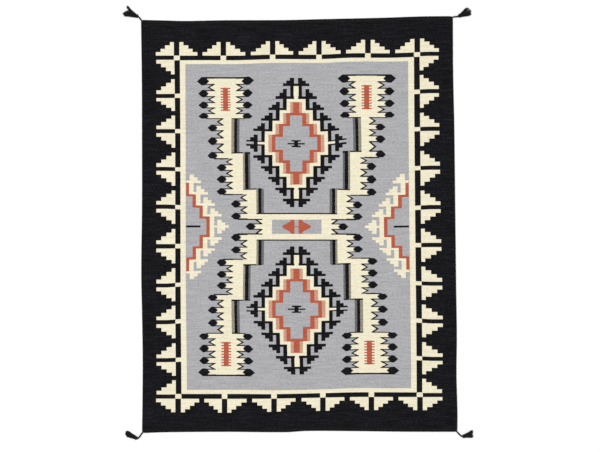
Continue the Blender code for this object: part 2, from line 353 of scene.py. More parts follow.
# The lines that run up the web, from the left to the right, with levels from the top border to the bottom one
WARPS = DriftTable(
    edges=(Edge.LEFT, Edge.RIGHT),
    levels=(-169.5, -127.0, -83.0, 0.0, 83.0, 127.0, 169.5),
    columns=range(7),
    lines=table(
        DriftLine,
        (-141.0, (-1.1, -1.0, -1.0, -1.1, -1.0, -0.9, -0.8)),
        (-122.0, (-1.6, -1.1, -0.8, -0.7, -0.6, -0.3, -0.1)),
        (-111.0, (-1.6, -1.5, -1.3, -1.3, -0.9, -0.4, 0.0)),
        (-93.0, (-2.4, -1.7, -1.4, -1.6, -1.2, -1.1, -0.6)),
        (-72.0, (-2.9, -1.9, -1.9, -1.8, -1.8, -1.2, -1.7)),
        (-49.0, (-2.2, -2.2, -2.8, -1.9, -2.6, -1.4, -0.9)),
        (-24.0, (-1.6, -2.0, -2.6, -2.0, -2.3, -1.6, -0.2)), (0.0, (-2.6, -2.4, -2.4, -2.0, -2.0, -1.6, 0.0)),
        (24.0, (-3.8, -2.6, -1.7, -1.5, -0.6, -0.7, 0.1)), (49.0, (-3.4, -2.9, -1.5, -1.2, -0.3, -0.4, 0.4)),
        (72.0, (-2.9, -2.9, -2.3, -1.5, -0.4, -0.1, 0.6)), (93.0, (-2.4, -2.3, -2.2, -1.5, 0.2, 1.0, 0.9)),
        (111.0, (-1.9, -1.8, -1.4, -0.6, 0.4, 0.9, 1.1)), (122.0, (-1.5, -1.1, -0.8, -0.1, 0.8, 1.1, 1.2)),
        (141.0, (-1.2, -0.7, -0.1, 1.3, 3.1, 3.1, 2.3)),
    ),
)

# The lines that run across it, from the top down, with levels from the left border to the right one
WEFTS = DriftTable(
    edges=(Edge.TOP, Edge.BOTTOM),
    levels=(-131.0, -95.0, -56.0, -25.0, 25.0, 56.0, 95.0, 131.0),
    columns=(0, 1, 1, 2, 3, 4, 4, 5),
    lines=table(
        DriftLine,
        (-185.5, (2.5, 2.4, 1.5, 1.5, 0.2, -1.4)), (-169.5, (2.4, 2.4, 1.4, 1.4, 0.0, -1.5)),
        (-151.0, (2.7, 1.5, -0.2, -0.2, -1.2, -1.8)), (-145.4, (2.8, 1.7, -0.8, -0.8, -1.1, -1.9)),
        (-139.0, (2.9, 2.1, -0.9, -0.9, -0.5, -1.9)), (-131.8, (3.0, 2.4, 0.5, 0.5, 0.1, -2.0)),
        (-128.2, (2.8, 2.4, 1.2, 1.2, 0.2, -2.0)), (-117.5, (1.6, 1.8, 1.5, 1.5, 0.2, -2.1)),
        (-106.7, (0.8, 1.1, 1.3, 1.3, 0.0, -2.1)), (-94.2, (0.3, 0.2, 1.3, 1.3, -0.8, -2.1)),
        (-84.0, (0.3, 0.3, 1.3, 1.3, -2.0, -1.7)), (-71.0, (0.4, 1.7, 0.9, 0.9, 0.5, -1.2)),
        (-56.5, (0.4, 1.6, 1.0, 1.0, 0.4, -0.8)), (-47.3, (0.4, 1.5, 1.1, 1.1, 1.7, -0.2)),
        (-37.5, (0.5, 2.0, 1.3, 1.3, 2.4, 0.3)), (-28.0, (0.5, 2.0, 1.5, 1.5, 3.0, 0.7)),
        (-18.8, (0.5, 2.1, 1.8, 1.8, 2.9, 1.0)), (-10.7, (0.9, 1.9, 2.0, 2.0, 2.4, 1.0)),
        (0.0, (1.4, 1.4, 1.6, 1.6, 1.7, 1.0)), (10.7, (2.0, 1.7, 1.7, 1.7, 1.8, 1.0)),
        (18.8, (2.4, 2.1, 1.8, 1.8, 1.7, 1.0)), (28.0, (3.0, 1.5, 2.2, 2.2, 0.7, 1.5)),
        (37.5, (3.4, 2.2, 2.0, 2.0, 0.8, 1.8)), (47.3, (3.7, 2.2, 1.9, 1.9, 0.8, 2.0)),
        (56.5, (4.0, 1.6, 1.8, 1.8, 0.9, 2.2)), (71.0, (3.6, 1.6, 1.7, 1.7, 0.5, 2.2)),
        (84.0, (3.2, 1.1, 1.3, 1.3, 0.2, 2.2)), (94.2, (3.0, 0.6, 1.3, 1.0, 0.0, 2.2)),
        (106.7, (3.1, 0.9, 2.3, 1.6, -0.1, 2.1)), (117.5, (3.2, 1.4, 3.2, 2.5, 0.0, 2.1)),
        (128.2, (3.3, 1.9, 3.8, 3.0, 0.2, 2.1)), (139.0, (3.0, 1.9, 3.6, 3.0, 0.2, 1.6)),
        (151.0, (2.5, 1.6, 2.8, 2.3, -0.1, 1.0)), (169.5, (1.8, 1.9, 1.9, 0.8, 0.2, 0.3)),
        (185.5, (1.8, 2.2, 1.3, 0.4, -0.3, -0.2)),
    ),
)


@dataclass(frozen=True)
class Loom:
    """Lays the chart onto the web, as unevenly as it was woven."""

    outline: Outline
    rib: float = 0.0039
    ribs_across: int = 314
    ribs_along: float = 413.33
    inset: float = 0.0026

    def profile(self, drifts: DriftTable, at: float) -> list[tuple[float, float]]:
        """List how far the lines that run one way drift, at one place along them.

        Args:
            drifts: The table of the lines that run that way.
            at: The place along them, downwards or to the right from the chart's middle.

        Returns:
            Pairs of a line's place in the chart and its drift, in ribs.
        """
        width, span = self.ribs_across, self.ribs_along
        if drifts is WEFTS:
            width, span = span, width
        strays = [self.outline.stray(edge, at / span + 0.5) for edge in drifts.edges]
        before, after = [(stray - self.inset) / self.rib for stray in strays]
        inner = []
        for line in drifts.lines:
            rows = [(level, line.drifts[column]) for level, column in zip(drifts.levels, drifts.columns)]
            inner.append((line.chart, read_smoothly(rows, at)[0]))
        return [(-width / 2, -before)] + inner + [(width / 2, after)]


class Track:
    """A path in plan that is followed by the distance along it."""

    def __init__(self, points: list[Vector], closed: bool = False) -> None:
        """Measure the path.

        Args:
            points: Its points, close together and in order.
            closed: Whether it ends where it starts.
        """
        self.points = points + points[:1] if closed else points
        self.stops = [0.0]
        ways = []
        for before, after in zip(self.points, self.points[1:]):
            self.stops.append(self.stops[-1] + (after - before).length)
            ways.append((after - before).normalized())
        first = (ways[0] + ways[-1]).normalized() if closed else ways[0]
        last = first if closed else ways[-1]
        middle = [(before + after).normalized() for before, after in zip(ways, ways[1:])]
        self.ways = [first] + middle + [last]
        self.length = self.stops[-1]

    def place(self, distance: float) -> tuple[Vector, Vector]:
        """Give the point and the direction at a distance.

        Args:
            distance: How far along the path.

        Returns:
            The point there and the way the path runs.
        """
        index = min(max(bisect.bisect_right(self.stops, distance), 1), len(self.stops) - 1)
        share = (distance - self.stops[index - 1]) / (self.stops[index] - self.stops[index - 1])
        way = self.ways[index - 1].lerp(self.ways[index], share).normalized()
        return self.points[index - 1].lerp(self.points[index], share), way


def roll_tube(
    mesh: Mesh,
    radius: float,
    sides: int,
    length: float,
    steps: int,
    off_axis: float = 0.0,
    phase: float = 0.0,
    turns: float = 0.0,
) -> Verts:
    """Roll a grid into a straight or coiled tube along +X.

    Args:
        mesh: The mesh to add to.
        radius: The tube's radius.
        sides: The number of the tube's sides.
        length: How far the tube runs along X.
        steps: The number of steps in that length.
        off_axis: How far the tube's middle stands off the X axis.
        phase: Where round the axis it starts, in turns.
        turns: How many times the tube goes round the axis.

    Returns:
        The tube's vertices.
    """
    verts = bmesh.ops.create_grid(mesh, x_segments=steps, y_segments=sides, size=0.5)["verts"]
    seam = [vertex for vertex in verts if abs(vertex.co.y) > GRID_EDGE]
    for vertex in verts:
        along = vertex.co.x + 0.5
        around = 2 * math.pi * vertex.co.y
        angle = 2 * math.pi * (phase + turns * along)
        y = off_axis + radius * math.cos(around)
        z = radius * math.sin(around)
        cosine, sine = math.cos(angle), math.sin(angle)
        vertex.co = (length * along, y * cosine - z * sine, y * sine + z * cosine)
    bmesh.ops.remove_doubles(mesh, verts=seam, dist=WELD_DISTANCE / 10)
    return [vertex for vertex in verts if vertex.is_valid]


def close_ends(mesh: Mesh) -> None:
    """Put a face across every open end."""
    bmesh.ops.holes_fill(mesh, edges=[edge for edge in mesh.edges if edge.is_boundary], sides=0)


@dataclass(frozen=True)
class CordSize:
    """The sizes of a two-ply twisted cord."""

    radius: float = 0.0026
    lay: float = 0.012
    sides: int = 6
    steps_per_turn: int = 9
    ply_swell: float = 1.06

    def twist(self, mesh: Mesh, track: Track, whole_turns: bool = False) -> None:
        """Twist two plies together along a track, lying on the floor.

        Args:
            mesh: The mesh to add to.
            track: The path in plan that the cord follows.
            whole_turns: Whether the twist has to come out even, as on a closed track.
        """
        turns = track.length / self.lay
        turns = float(round(turns)) if whole_turns else turns
        steps = max(round(turns * self.steps_per_turn), 2)
        ply = self.radius / 2
        for phase in (0.0, 0.5):
            swollen = ply * self.ply_swell
            for vertex in roll_tube(mesh, swollen, self.sides, track.length, steps, ply, phase, turns):
                place, way = track.place(vertex.co.x)
                vertex.co = place + left_of(way) * vertex.co.y + UP * max(self.radius + vertex.co.z, 0.0)


def operation(name: str, turned: bool = False) -> Callable[..., "Wire"]:
    """Make a method of Wire that adds one Math node.

    Args:
        name: The node's operation.
        turned: Whether the other number comes first.

    Returns:
        The method.
    """

    def method(wire: "Wire", *others: "Value") -> "Wire":
        """Add the node, between this wire and the others."""
        return wire.graph.maths(name, *((*others, wire) if turned else (wire, *others)))

    return method


class Wire:
    """A number that varies over a material, or a mask that is 1 or 0, for use in Python expressions."""

    def __init__(self, graph: "Graph", socket: Socket) -> None:
        """Hold an output socket and the graph it is in."""
        self.graph = graph
        self.socket = socket

    __add__ = __radd__ = operation("ADD")
    __sub__ = operation("SUBTRACT")
    __rsub__ = operation("SUBTRACT", turned=True)
    __mul__ = __rmul__ = __and__ = operation("MULTIPLY")
    __truediv__ = operation("DIVIDE")
    __mod__ = operation("FLOORED_MODULO")
    __pow__ = operation("POWER")
    __or__ = operation("MAXIMUM")
    __lt__ = operation("LESS_THAN")
    __gt__ = operation("GREATER_THAN")
    __abs__ = operation("ABSOLUTE")
    __floor__ = operation("FLOOR")
    sine = operation("SINE")
    swing = operation("PINGPONG")

    def __invert__(self) -> "Wire":
        """Turn a mask round."""
        return 1.0 - self

    def between(self, low: float, high: float) -> "Wire":
        """Give 1 where this lies between two numbers."""
        return self.graph.maths("COMPARE", self, (low + high) / 2, (high - low) / 2)


Value = Union[Wire, float]


class Graph:
    """A material's nodes, added by Python expressions."""

    def __init__(self, name: str) -> None:
        """Make an empty node material with its Principled shader.

        Args:
            name: The material's name.
        """
        self.material = bpy.data.materials.new(name)
        self.material.use_nodes = True
        self.tree = self.material.node_tree
        self.shader = self.tree.nodes["Principled BSDF"]

    def node(self, kind: str, settings: dict | None = None, inputs: dict | None = None) -> bpy.types.Node:
        """Add any node.

        Args:
            kind: The node's type.
            settings: Its settings, set before its sockets.
            inputs: Values or links of its sockets, by name or number.

        Returns:
            The node.
        """
        made = self.tree.nodes.new(kind)
        for key, value in (settings or {}).items():
            setattr(made, key, value)
        for key, value in (inputs or {}).items():
            self.feed(made.inputs[key], value)
        return made

    def feed(self, socket: Socket, value: object) -> None:
        """Link a socket to a wire or another socket, or set its value.

        Args:
            socket: The input socket.
            value: What it takes.
        """
        if isinstance(value, Wire):
            self.tree.links.new(value.socket, socket)
        elif isinstance(value, Socket):
            self.tree.links.new(value, socket)
        else:
            socket.default_value = value

    def maths(self, operation: str, *values: Value) -> Wire:
        """Add a Math node and give its result."""
        made = self.node("ShaderNodeMath", {"operation": operation}, dict(enumerate(values)))
        return Wire(self, made.outputs[0])

    def pick(self, mask: Wire, otherwise: Value, chosen: Value) -> Wire:
        """Give one number where a mask is 1 and another where it is 0."""
        made = self.node("ShaderNodeMix", {"data_type": "FLOAT"}, {0: mask, 2: otherwise, 3: chosen})
        return Wire(self, made.outputs[0])

    def tint(self, mask: Value, otherwise: object, chosen: object, how: str = "MIX") -> Socket:
        """Blend two colours by a mask.

        Args:
            mask: How much of the second colour comes in.
            otherwise: The first colour, or its socket.
            chosen: The second colour, or its socket.
            how: The way the two blend.

        Returns:
            The blended colour's socket.
        """
        settings = {"data_type": "RGBA", "blend_type": how}
        colours = [(*c, 1.0) if isinstance(c, tuple) else c for c in (otherwise, chosen)]
        return self.node("ShaderNodeMix", settings, {0: mask, 6: colours[0], 7: colours[1]}).outputs[2]

    def joined(self, x: Value, y: Value, z: Value = 0.0) -> Socket:
        """Join three numbers into a vector."""
        return self.node("ShaderNodeCombineXYZ", None, {0: x, 1: y, 2: z}).outputs[0]

    def noise(self, where: Socket, scale: float, detail: float = 2.0) -> Wire:
        """Give soft noise about one half, at a place."""
        inputs = {"Vector": where, "Scale": scale, "Detail": detail}
        return Wire(self, self.node("ShaderNodeTexNoise", {"noise_dimensions": "3D"}, inputs).outputs[0])

    def bump(self, height: Wire, depth: float, strength: float) -> Socket:
        """Turn a height over the surface into a normal for the shader."""
        inputs = {"Strength": strength, "Distance": depth, "Height": height}
        return self.node("ShaderNodeBump", None, inputs).outputs[0]

    def finish(self, inputs: dict[str, object]) -> Material:
        """Finish the shader.

        Args:
            inputs: Values, wires or sockets for the shader's inputs, by name.

        Returns:
            The material.
        """
        for name, value in inputs.items():
            self.feed(self.shader.inputs[name], value)
        return self.material


class Chart:
    """The rug's pattern as yarn numbers, worked out from the middle of the web in mirrored quarters.

    Widths and heights are in ribs. The far edges of the field and of its two frames come first, and every
    figure is painted over the one before it.
    """

    FIELD = (111.4, 163.1)
    CREAM_FRAME = (116.8, 166.9)
    BLACK_FRAME = (122.4, 171.75)
    BAR_SPACING = (48.0, 37.667)
    BAR_HALF_WIDTH = (2.6, 2.1)
    DIAMOND_MIDDLE = 82.8
    HOOK_STEPS = (((-7.4, 11.2), 2.3), ((-0.3, 3.8), 8.3), ((0.0, 7.5), 5.4), ((0.0, 11.2), 2.6))
    FEATHER_HALF_WIDTH = 2.8
    FEATHER_LENGTH = 6.6
    ZIGZAG_REACH = 5.8
    ARROW_HALF_HEIGHT = 7.2

    def __init__(self, graph: Graph, x: Wire, y: Wire) -> None:
        """Take the chart's coordinates, counted from its middle.

        Args:
            graph: The material's graph.
            x: The place across, in ribs.
            y: The place along, in ribs.
        """
        self.graph = graph
        self.x = abs(math.floor(x * 2.0) * 0.5 + 0.25)
        self.y = abs(math.floor(y * 4.0) * 0.25 + 0.125)
        self.two_in_three = math.floor(y * 4.0) % 3.0 < 1.5
        self.yarn: Wire | None = None

    def paint(self, mask: Wire, yarn: Yarn) -> None:
        """Lay a yarn where a mask is 1, over what is there."""
        below = Yarn.GREY.value if self.yarn is None else self.yarn
        self.yarn = self.graph.pick(mask, below, yarn.value)

    def box(self, across: tuple[float, float], along: tuple[float, float]) -> Wire:
        """Give the mask of a rectangle, mirrored into all four quarters."""
        return self.x.between(*across) & self.y.between(*along)

    def weave(self) -> Wire:
        """Paint every figure in order.

        Returns:
            The yarn number over the whole web.
        """
        self.frames()
        self.end_triangles()
        self.side_triangles()
        self.hooked_diamonds()
        self.side_hooks()
        self.stepped_columns()
        self.feather_boxes()
        self.middle_bar()
        return self.yarn

    def frames(self) -> None:
        """Paint the black border, the cream frame and the grey field."""
        outside = (self.x > self.CREAM_FRAME[0]) | (self.y > self.CREAM_FRAME[1])
        beyond_field = (self.x > self.FIELD[0]) | (self.y > self.FIELD[1])
        self.paint(beyond_field, Yarn.CREAM)
        self.paint(outside, Yarn.BLACK)

    def end_triangles(self) -> None:
        """Paint the stepped cream triangles of the top and bottom borders, in pairs beside a black bar."""
        spacing, bar = self.BAR_SPACING[0], self.BAR_HALF_WIDTH[0]
        step, going, longest = 3.4, 4.9, 21.3
        from_bar = (self.x + (spacing / 2 - 0.25)).swing(spacing / 2)
        rise = self.y - self.BLACK_FRAME[1]
        reach = longest - math.floor(rise / step) * going
        pair = (from_bar < reach) & (from_bar > bar) & rise.between(0.0, step * 4) & (self.x < 142.0)
        knot = (from_bar < bar) & self.y.between(self.CREAM_FRAME[1], self.BLACK_FRAME[1]) & (self.x < 123.0)
        self.paint(pair | knot, Yarn.CREAM)

    def side_triangles(self) -> None:
        """Paint the stepped cream triangles of the two side borders, in pairs above and below a black bar."""
        spacing, bar = self.BAR_SPACING[1], self.BAR_HALF_WIDTH[1]
        step, going, longest = 3.6, 5.0, 18.6
        from_bar = (self.y + spacing / 2).swing(spacing / 2)
        reach = longest - math.floor((from_bar - bar) / step) * going
        out = self.x - self.BLACK_FRAME[0]
        pair = (out < reach) & from_bar.between(bar, 16.4) & (out > 0.0) & (self.y < 169.5)
        knot = (from_bar < bar) & self.x.between(self.CREAM_FRAME[0], self.BLACK_FRAME[0]) & (self.y < 172.0)
        self.paint(pair | knot, Yarn.CREAM)

    def hooks(
        self, across: Wire, up: Wire, first: float, pitch: tuple[float, float], last: float
    ) -> tuple[Wire, Wire]:
        """Work out a stair of hooked units, each one step further in and up than the one before.

        Args:
            across: The place across, growing outwards.
            up: The height above the first unit's foot.
            first: Where the first unit's stem starts across.
            pitch: How far each unit moves in, and up.
            last: The number of the last unit.

        Returns:
            The hooks' mask and the place across measured from the unit's stem.
        """
        unit = math.floor(up / pitch[1])
        height = up - unit * pitch[1] + (unit < 0.5) * 0.9
        out = across + unit * pitch[0] - first
        mask = unit < -1.0
        for reach, top in self.HOOK_STEPS:
            mask = mask | (out.between(*reach) & (height < top))
        return mask & unit.between(-0.5, last + 0.5), out

    def stair(self, up: Wire, rise: float, first: float, start: float, going: float) -> Wire:
        """Give how far out a staircase reaches at a height, where its first step ends at another."""
        return start - math.floor((up - first + rise) / rise) * going

    def hooked_diamonds(self) -> None:
        """Paint the two large stepped diamonds with their black hooks and coral outline."""
        x = self.x
        up = abs(self.y - self.DIAMOND_MIDDLE)
        rise, going = 10.8, 7.14
        hooks, out = self.hooks(x, up - 1.1, 38.2, (going, rise), 5.0)
        self.paint(out < -going, Yarn.CREAM)
        self.paint(out.between(-going - 0.2, -3.5) & (up < 56.0), Yarn.BLACK)
        self.paint(hooks, Yarn.BLACK)
        outer = self.stair(up, rise, 9.0, 24.2, going)
        inner = self.stair(up, rise, 6.6, 20.3, going)
        comb = (x < outer + 3.3) & (x > outer) & self.two_in_three
        self.paint((x < outer) | comb, Yarn.CORAL)
        self.paint(x < inner, Yarn.GREY)
        wings = (x < 4.7) & up.between(2.1, 3.8)
        core = (x < 2.1) & (up < 3.8)
        feelers = (x < 8.6) & (up < 0.7)
        self.paint(wings | core | feelers, Yarn.BLACK)

    def side_hooks(self) -> None:
        """Paint the half diamonds at the sides, with their coral outline and cream hooks."""
        inward = 111.0 - self.x
        rise, going = 11.0, 7.0
        within = (inward > 0.0) & (self.y < 60.0)
        hooks, out = self.hooks(inward, self.y + 0.5, 32.0, (going, rise), 4.0)
        stems = out.between(-7.8, -3.5) & (self.y < 43.5)
        self.paint((hooks | stems) & within, Yarn.CREAM)
        self.paint((out < -7.8) & (self.y < 43.5) & within, Yarn.CORAL)
        self.paint((inward < self.stair(self.y, rise, 8.2, 20.5, going)) & within, Yarn.GREY)
        self.paint(self.box((96.5, 111.0), (-1.0, 1.0)), Yarn.BLACK)

    def feathers(self, out: Wire, zone: Wire, first: float, pitch: float) -> None:
        """Paint a row of cream feathers with black tips, and the black zigzag between them.

        Args:
            out: The distance out from the feathers' roots.
            zone: The mask that the row stays in.
            first: The height of the first feather's middle.
            pitch: The spacing of the feathers.
        """
        off = abs(((self.y - (first - pitch / 2)) % pitch) - pitch / 2)
        half, tip = self.FEATHER_HALF_WIDTH, self.ZIGZAG_REACH
        zigzag = tip - (pitch / 2 - off) * (tip / (pitch / 2 - half))
        between = off > half
        cream = (off < half) & (out < self.FEATHER_LENGTH) | (between & (out < zigzag))
        self.paint(cream & zone & (out > -0.5), Yarn.CREAM)
        edge = between & (abs(out - zigzag) < 1.3)
        line = off.between(2.3, 3.3) & out.between(-0.5, 9.0)
        diamond = (abs(out - 11.0) < 5.3 - off * 1.1) & (off < 3.6)
        self.paint((edge | line | diamond) & zone, Yarn.BLACK)

    def stepped_columns(self) -> None:
        """Paint the cream columns that step in towards the middle, with their bars and feathers."""
        steps = (
            ((63.9, 73.3), (68.2, 107.5), 107.5, (56.5, 58.9, 62.0, 65.0), (73.7, 107.0), 71.0, 13.2),
            ((53.0, 64.0), (32.5, 73.0), 68.2, (45.3, 47.6, 51.0, 53.0), (37.7, 73.7), 35.5, 11.8),
            ((40.0, 49.6), (7.3, 37.1), 32.5, (32.4, 34.8, 38.0, 40.0), (13.5, 37.7), 10.7, 12.4),
        )
        for cream, along, feathered_to, bars, bars_along, first, pitch in steps:
            self.paint(self.box(cream, along), Yarn.CREAM)
            self.paint(self.box((cream[0], cream[1] + 4.0), (feathered_to, along[1])), Yarn.CREAM)
            zone = self.y.between(along[0], feathered_to) & (self.x < cream[1] + 18.0)
            self.feathers(self.x - cream[1], zone, first, pitch)
            self.paint(self.box((cream[0], cream[1] + 9.5), (along[0] - 0.6, along[0] + 0.6)), Yarn.BLACK)
            soft, dark, bright, end = bars
            upright = self.y.between(*bars_along)
            half_tone = self.x.between(soft, end) & self.two_in_three
            self.paint(upright & self.x.between(bright, end), Yarn.CREAM)
            self.paint(upright & (self.x.between(dark, bright) | half_tone), Yarn.BLACK)
            self.paint(self.box((soft - 11.0, end), (bars_along[0] - 0.9, bars_along[0] + 0.6)), Yarn.BLACK)

    def feather_boxes(self) -> None:
        """Paint the four cream blocks with feathers on both sides and a toothed coral spine."""
        out = abs(self.x - 71.0)
        zone = self.y.between(107.6, 148.8) & (out < 30.0)
        self.paint((out < 11.2) & zone, Yarn.CREAM)
        self.feathers(out - 11.2, zone, 110.0, 11.8)
        off = abs(self.y - 145.4)
        self.paint((abs(out - 22.4) < 6.4 - off * 1.2) & (off < 4.0), Yarn.BLACK)
        self.paint((out < 22.0) & self.y.between(148.1, 149.6), Yarn.BLACK)
        self.paint((out < 20.0) & self.y.between(107.1, 108.0) & ~self.x.between(65.0, 73.3), Yarn.BLACK)
        tooth = ((self.y - 116.6).swing(1.375) < 0.65) * 2.4 + 2.6
        self.paint((out < tooth) & self.y.between(115.7, 139.5), Yarn.CORAL)

    def middle_bar(self) -> None:
        """Paint the bar across the middle, its end feathers and the two coral arrowheads."""
        self.paint(self.box((-1.0, 40.0), (-1.0, 14.1)), Yarn.BLACK)
        self.paint(self.box((-1.0, 40.0), (7.8, 12.75)), Yarn.CREAM)
        self.paint(self.box((-1.0, 34.9), (-1.0, 12.75)), Yarn.CREAM)
        zone = (self.x < 52.0) & (self.y < 7.3)
        self.paint(zone & (self.x > 34.9), Yarn.GREY)
        self.feathers(self.x - 34.9, zone, 0.0, 14.6)
        self.paint(self.box((34.0, 58.0), (6.7, 7.9)), Yarn.BLACK)
        self.paint(self.box((-1.0, 24.5), (-1.0, self.ARROW_HALF_HEIGHT)), Yarn.GREY)
        head = self.x.between(2.2, 6.0) & (self.y < self.ARROW_HALF_HEIGHT)
        barb = self.x.between(5.5, 14.0) & (self.y < 8.4 - self.x * 0.52)
        shaft = (self.x < 3.0) & (self.y < 0.6)
        self.paint(head | barb | shaft, Yarn.CORAL)


@dataclass(frozen=True)
class WovenWool:
    """The web's finish: four dyed wool yarns packed over the ribs of a plain weave."""

    grey: Colour = (0.385, 0.385, 0.397)
    cream: Colour = (0.805, 0.745, 0.56)
    black: Colour = (0.0058, 0.0058, 0.0076)
    coral: Colour = (0.43, 0.099, 0.056)
    roughness: float = 0.92
    sheen: float = 0.04
    specular: float = 0.1
    pick: float = 0.00195
    bead_depth: float = 0.00035
    cream_contrast: float = 0.65
    black_contrast: float = 6.0
    lint: Colour = (0.07, 0.07, 0.075)
    lint_level: float = 0.72

    def make(self, loom: Loom) -> Material:
        """Make the material.

        Args:
            loom: The loom whose chart the web's UV map holds.

        Returns:
            The material.
        """
        graph = Graph("woven_wool")
        uv = graph.node("ShaderNodeUVMap", {"uv_map": LOOM_UV}).outputs[0]
        parts = graph.node("ShaderNodeSeparateXYZ", None, {0: uv})
        x = (Wire(graph, parts.outputs[0]) - 0.5) * float(loom.ribs_across)
        y = (0.5 - Wire(graph, parts.outputs[1])) * loom.ribs_along
        yarn = Chart(graph, x, y).weave()
        where = graph.joined(x * loom.rib, y * loom.rib)
        fibre = graph.noise(where, 900.0, 3.0)
        cloud = graph.noise(where, 9.0, 3.0)
        streak = graph.noise(graph.joined(x * 0.05, y * 0.55), 1.0, 3.0)
        heather = graph.noise(graph.joined(x * 0.45, y * 0.8), 1.0, 2.0)
        shade = 0.24 + fibre * 0.14 + cloud * 0.10 + streak * 0.52 + heather * 0.76
        is_cream = yarn.between(0.5, 1.5)
        is_black = yarn.between(1.5, 2.5)
        shade = graph.pick(is_cream, shade, shade * self.cream_contrast + (1.0 - self.cream_contrast))
        shade = graph.pick(is_black, shade, shade**self.black_contrast)
        colour = graph.tint(is_cream, self.grey, self.cream)
        colour = graph.tint(is_black, colour, self.black)
        colour = graph.tint(yarn.between(2.5, 3.5), colour, self.coral)
        shaded = graph.joined(shade, shade, shade)
        colour = graph.tint(1.0, colour, shaded, "MULTIPLY")
        lint = graph.noise(graph.joined(x * 0.5, y * 1.4), 1.0, 2.0) > self.lint_level
        colour = graph.tint((lint & is_black) * 0.5, colour, self.lint)
        rib = math.floor(x)
        across = (x - rib) * 2.0 - 1.0
        along = (y * (loom.rib / self.pick) + rib * 0.5) * math.pi
        bead = abs(along.sine()) * (1.0 - across * across)
        return graph.finish(
            {
                "Base Color": colour,
                "Roughness": self.roughness - fibre * 0.08,
                "Sheen Weight": self.sheen,
                "Sheen Roughness": 0.5,
                "Specular IOR Level": self.specular,
                "Normal": graph.bump(bead + fibre * 0.5, self.bead_depth, 0.6),
            }
        )


@dataclass(frozen=True)
class TwistedWool:
    """The finish of the black twisted cords and the tassels' loose yarn."""

    dark: Colour = (0.005, 0.005, 0.0065)
    worn: Colour = (0.012, 0.012, 0.015)
    roughness: float = 0.9
    sheen: float = 0.05
    specular: float = 0.12
    fuzz_depth: float = 0.0003

    def make(self) -> Material:
        """Make the material.

        Returns:
            The material.
        """
        graph = Graph("tassel_wool")
        where = graph.node("ShaderNodeTexCoord").outputs["Object"]
        fibre = graph.noise(where, 1400.0, 3.0)
        strand = graph.noise(where, 260.0, 2.0)
        colour = graph.tint(fibre * 0.5 + strand * 0.5, self.dark, self.worn)
        return graph.finish(
            {
                "Base Color": colour,
                "Roughness": self.roughness - fibre * 0.1,
                "Sheen Weight": self.sheen,
                "Specular IOR Level": self.specular,
                "Normal": graph.bump(fibre, self.fuzz_depth, 0.5),
            }
        )


def add_object(name: str, data: bpy.types.ID) -> Object:
    """Put an object into the scene.

    Args:
        name: The object's name.
        data: Its mesh, lamp or camera.

    Returns:
        The object.
    """
    item = bpy.data.objects.new(name, data)
    bpy.context.scene.collection.objects.link(item)
    return item


def add_mesh(name: str, mesh: Mesh, material: Material) -> Object:
    """Put a finished bmesh into the scene.

    Args:
        name: The object's name.
        mesh: Its mesh, which is used up.
        material: Its finish.

    Returns:
        The object.
    """
    data = bpy.data.meshes.new(name)
    mesh.to_mesh(data)
    mesh.free()
    data.materials.append(material)
    return add_object(name, data)


def add_piece(name: str, mesh: Mesh, material: Material) -> Object:
    """Turn a finished bmesh into a piece of the rug.

    Args:
        name: The piece's name.
        mesh: Its mesh, which is used up.
        material: Its finish.

    Returns:
        The piece.
    """
    piece = add_mesh(name, mesh, material)
    piece.data.shade_smooth()
    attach(piece, "root")
    LOG.info("%s: %d faces", name, len(piece.data.polygons))
    return piece


